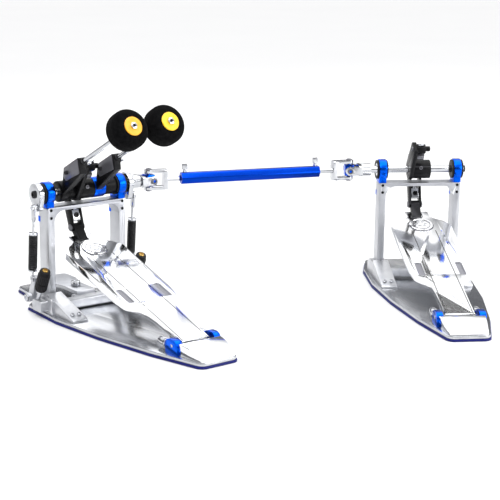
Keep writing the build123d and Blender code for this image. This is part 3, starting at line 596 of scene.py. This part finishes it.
def link_details(pedal, place):
    """Pivot bolts at the cam, the barrel's end caps and the adjuster's screws."""
    body = f"{pedal}_link"
    for side in (-1, 1):
        cap = lathe([(0, 5.2), (1.6, 5.2), (2.2, 4.6), (2.2, 0)], 28)
        pivot = axis_frame(place, (side * LINK_FACE_X, CAM_PIVOT.y, CAM_PIVOT.z), (side, 0, 0))
        finish_mesh(f"{pedal}_pivot_cap_{side}", cap, pivot, body, "chrome")
        end = lathe([(0, 4.6), (1.2, 4.6), (1.7, 4.1), (1.7, 0)], 28)
        barrel = axis_frame(place, (side * LINK_FACE_X, LINK_BARREL.y, LINK_BARREL.z), (side, 0, 0))
        finish_mesh(f"{pedal}_barrel_cap_{side}", end, barrel, body, "grey_metal")
    lean = (LINK_BEND - LINK_BARREL).normalized()
    face = Vector((0, -lean.z, lean.y))
    spot = LINK_BARREL + lean * 15.5 + face * 5.4
    socket_bolt(f"{pedal}_block_screw", place, spot, face, body, 3.6, 2.0, "black_metal")


CLAMP_LEAN, CLAMP_REACH = radians(36), 42.0


def cam_details(pedal, place, body):
    """Screws of the cam and its clamp: a wing at the clamp's tip and a grey wedge against the barrel."""
    up = Vector((0, -sin(CLAMP_LEAN), cos(CLAMP_LEAN)))
    tip = Vector((0, 0, SHAFT_Z)) + up * CLAMP_REACH
    plate_face = Vector((-16, 0, 0))
    socket_bolt(f"{pedal}_clamp_bolt", place, tip + plate_face, (-1, 0, 0), body, 3.4, 1.8, "grey_metal")
    lean = axis_frame(place, tip + up * 4, up)
    wing = prism([(-10, -1.6), (-1, -1.6), (-2.5, 1.6), (-8.5, 1.6)], 0, 8.5)
    finish_mesh(f"{pedal}_clamp_wing", wing, lean, body, "chrome", bevel=0.9)
    wedge = prism([(-9, -6), (1.5, -6), (4, 6), (-9, 6)], -20, -13)
    finish_mesh(f"{pedal}_clamp_wedge", wedge, lean, body, "grey_metal", bevel=1.2)
    socket_bolt(f"{pedal}_cam_screw", place, (0, -12.6, SHAFT_Z + 4), (0, -1, 0.3), body,
                2.6, 1.4, "grey_metal")


for pedal, place, shaft_body in (("main", MAIN, "left_beater_shaft"), ("slave", SLAVE, "slave_shaft")):
    footboard_details(pedal, place)
    heel_details(pedal, place)
    screws(pedal, place)
    hinge_details(pedal, place)
    link_details(pedal, place)
    cam_details(pedal, place, shaft_body)
bearing_details("main", MAIN, [("left_axle", -73.0, -1, "left_beater_shaft")])
bearing_details("slave", SLAVE, [("slave_axle", 66, 1, "slave_shaft")])


# ---------------------------------------------------------------- beaters

HEAD_R, HEAD_HALF, HEAD_ROUND = 25.2, 15.5, 11.0
ROD_OFFSET = 16.0
BEATERS = (("left", -33.8, 192.0, "orange_washer"), ("right", 17.9, 196.0, "yellow_washer"))


def rod_point(x, reach, offset=ROD_OFFSET):
    return Vector((x, 0, SHAFT_Z)) + rod_out * offset + rod_dir * reach


def rounded_profile(radius, half, fillet, steps=8):
    """Half-section of a drum with rounded rims, from the bottom centre to the top centre."""
    points = [(-half, 0), (-half, (radius - fillet) * 0.5)]
    for k in range(steps + 1):
        a = -pi / 2 + pi / 2 * k / steps
        points.append((-half + fillet + fillet * sin(a), radius - fillet + fillet * cos(a)))
    for k in range(steps + 1):
        a = pi / 2 * k / steps
        points.append((half - fillet + fillet * sin(a), radius - fillet + fillet * cos(a)))
    return points + [(half, (radius - fillet) * 0.5), (half, 0)]


def beater(side, x, reach, washer):
    """Felt head with its coloured washer and nut in front and a collar behind."""
    body = f"{side}_beater"
    centre = rod_point(x, reach)
    felt = lathe(rounded_profile(HEAD_R, HEAD_HALF, HEAD_ROUND), 72)
    head = finish_mesh(f"{side}_felt", felt, axis_frame(MAIN, centre, rod_dir), body, "black_felt",
                       angle=60, replaces=(f"{side}_beater_head",))
    face = axis_frame(MAIN, centre + rod_dir * HEAD_HALF, rod_dir)
    disc = lathe([(-0.3, 12), (1.0, 12), (1.5, 11.5), (1.5, 8.6), (1.1, 8.2), (1.1, 0)], 64)
    finish_mesh(f"{side}_washer", disc, face, body, washer, replaces=(f"{side}_beater_badge",))
    hex_nut(f"{side}_nut", MAIN, centre + rod_dir * (HEAD_HALF + 1.0), rod_dir, body, 8.2, 2.4)
    collar = lathe([(-3, 6.6), (-2.4, 7.2), (-0.4, 7.2), (0, 6.8), (0, 3.0), (-3, 3.0)], 36)
    back = axis_frame(MAIN, centre - rod_dir * HEAD_HALF, rod_dir)
    finish_mesh(f"{side}_collar", collar, back, body, "chrome")


HOLDER_HALF = 4.7             # half the holder's width along the shaft
HOLDER_TOP = 76.6             # where the rod leaves the holder
KEY_REACH = (38, 68)          # lower and upper key screw, along the rod


def holder_details(side, x, body):
    """Smooth grey side plates along the clamp, and the key screws that grip the rod."""
    for flank in (-1, 1):
        along = axis_frame(MAIN, (x + flank * HOLDER_HALF, 0, SHAFT_Z), (flank, 0, 0), rod_dir)
        up = 1 if (along.to_3x3() @ Vector((0, 1, 0))).dot(rod_out) > 0 else -1
        plate = [(26, up * 12), (30, up * 5), (67, up * 3), (71, up * 21.7), (34, up * 21.7)]
        finish_mesh(f"{side}_plate_{flank}", prism(plate, -0.2, 0.9), along, body, "grey_metal", bevel=0.5)
    rim = lathe([(0, 4.4), (3.0, 4.4), (3.6, 3.8), (3.6, 3.2), (0, 3.2)], 32)
    top = axis_frame(MAIN, rod_point(x, HOLDER_TOP), rod_dir)
    finish_mesh(f"{side}_rod_collar", rim, top, body, "black_metal")
    for k, (reach, flank) in enumerate(zip(KEY_REACH, (-1, 1))):
        place = rod_point(x + flank * (HOLDER_HALF + 0.6), reach, 14)
        socket_bolt(f"{side}_key_seat_{k}", MAIN, place, (flank, 0, 0), body, 2.8, 3.2, "black_metal")
    key = prism([(-2.2, 0), (2.2, 0), (3.4, 5.5), (-3.4, 5.5)], -1.2, 1.2)
    seat = axis_frame(MAIN, rod_point(x + HOLDER_HALF + 3.6, KEY_REACH[1], 14), rod_out, (1, 0, 0))
    finish_mesh(f"{side}_rod_key", key, seat @ Matrix.Rotation(-pi / 2, 4, "Z"), body, "chrome", bevel=0.6)


for side, x, reach, washer in BEATERS:
    beater(side, x, reach, washer)
    holder_details(side, x, f"{side}_beater_shaft")


# ---------------------------------------------------------------- springs and tension knobs

SPRING_TURNS, WIRE_R, COIL_R = 19, 1.12, 5.1
COIL_LOW, COIL_HIGH = 14.0, 60.0
SPRING_X = 77.0
ROCKER_PIN_Z = 147.0


def spring(side, sign):
    """Coil that runs between the lower and upper ends of the spring."""
    foot = Vector((sign * SPRING_X, spring_foot.y, spring_foot.z))
    where = axis_frame(MAIN, foot, spring_dir)
    per_turn = 18
    steps = SPRING_TURNS * per_turn
    points = []
    for k in range(steps + 1):
        a = 2 * pi * k / per_turn
        height = COIL_LOW + (COIL_HIGH - COIL_LOW) * k / steps
        points.append(Vector((COIL_R * cos(a), COIL_R * sin(a), height)))
    coil = finish_mesh(f"{side}_coil", tube_along(points, WIRE_R), where, None, "black_spring",
                       replaces=(f"{side}_spring_coil",))
    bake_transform(coil)


def knurled(turns):
    """Radius factor of a knurled grip with so many ridges."""
    return lambda a, h: 1 + 0.028 * (1 if int(a / (2 * pi) * turns * 2) % 2 else -1)


def tension_knob(side, sign):
    """Knurled grip with plain rims and a brass insert, on its stud."""
    low, high = Vector((sign * 75, -14, 38)), Vector((sign * 75, -28, 67))
    axis = (high - low).normalized()
    length = (high - low).length
    body, where = f"{side}_tension_knob", axis_frame(MAIN, low, axis)
    rim = 8.1
    profile = [(0, 0), (0, 6.6), (1.2, 7.6), (2.4, 7.6), (2.8, rim), (11.6, rim), (12, 7.4), (13.6, 7.4),
               (14, rim), (length - 6.2, rim), (length - 5.6, 7.4), (length - 2, 7.4), (length, 6.6),
               (length, 0)]

    def wave(a, h):
        return knurled(22)(a, h) if 2.6 < h < 11.8 or 13.8 < h < length - 6 else 1
    finish_mesh(f"{side}_grip", lathe(profile, 88, wave), where, body, "black_plastic",
                angle=25, replaces=(f"{side}_tension_knob",))
    stud = lathe([(-23.5, 0), (-23.5, 2.2), (-23, 2.9), (0.5, 2.9), (0.5, 0)], 24)
    finish_mesh(f"{side}_stud", stud, where, body, "chrome")
    insert = lathe([(length - 0.4, 3.8), (length + 1.0, 3.8), (length + 1.6, 3.2), (length + 1.6, 1.8),
                    (length + 0.6, 1.6), (length + 0.6, 0)], 32)
    finish_mesh(f"{side}_insert", insert, where, body, "brass")


for side, sign in (("left", -1), ("right", 1)):
    spring(side, sign)
    tension_knob(side, sign)
    rocker_pin = (sign * (SPRING_X + 1.2), spring_foot.y - 8, ROCKER_PIN_Z)
    socket_bolt(f"{side}_rocker_pin", MAIN, rocker_pin, (sign, 0, 0),
                f"{side}_spring_head", 3.8, 2.2)
    socket_bolt(f"{side}_anchor_bolt", MAIN, (sign * 80, 13, 22), (sign, 0, 0), "main_pedal", 5.2, 2.4)


# ---------------------------------------------------------------- drive shaft

YOKE_HALF = 14.0              # outer face of a yoke's arm, from the joint's middle


def joint_details(name, place, joint_x, shaft_body, rod_body, rod_x):
    """Bolt heads on the pins of a universal joint."""
    radius, height = 4.2, 1.8
    for side in (-1, 1):
        socket_bolt(f"{name}_side_pin_{side}", place, (joint_x, side * YOKE_HALF, SHAFT_Z), (0, side, 0),
                    shaft_body, radius, height, "grey_metal")
        socket_bolt(f"{name}_top_pin_{side}", TUBE, (rod_x, 0, side * YOKE_HALF), (0, 0, side),
                    rod_body, radius, height, "grey_metal")


MAIN_JOINT_X, SLAVE_JOINT_X, JOINT_SPAN = 106.0, -103.5, 298.0
joint_details("main_joint", MAIN, MAIN_JOINT_X, "right_beater_shaft", "drive_tube", 0)
joint_details("slave_joint", SLAVE, SLAVE_JOINT_X, "slave_shaft", "slave_rod", JOINT_SPAN)

# CAD pieces whose shape is final keep it, with rounded edges.
hidden = {n for n, o in frame["nodes"].items() if o.hide_render}
SOFT_EDGES = {"floor_mat": 0.8, "base_plate": 0.7, "post_frame": 1.0, "feet": 1.6, "heel_plate": 0.8,
              "footboard": 0.9}
for node in sorted(set(frame["nodes"]) - hidden):
    kind = node.split("_", 1)[1]
    refined(node, "blue_tube" if node == "drive_tube" else None, SOFT_EDGES.get(kind, 0.5))

camera()
stage_and_light()
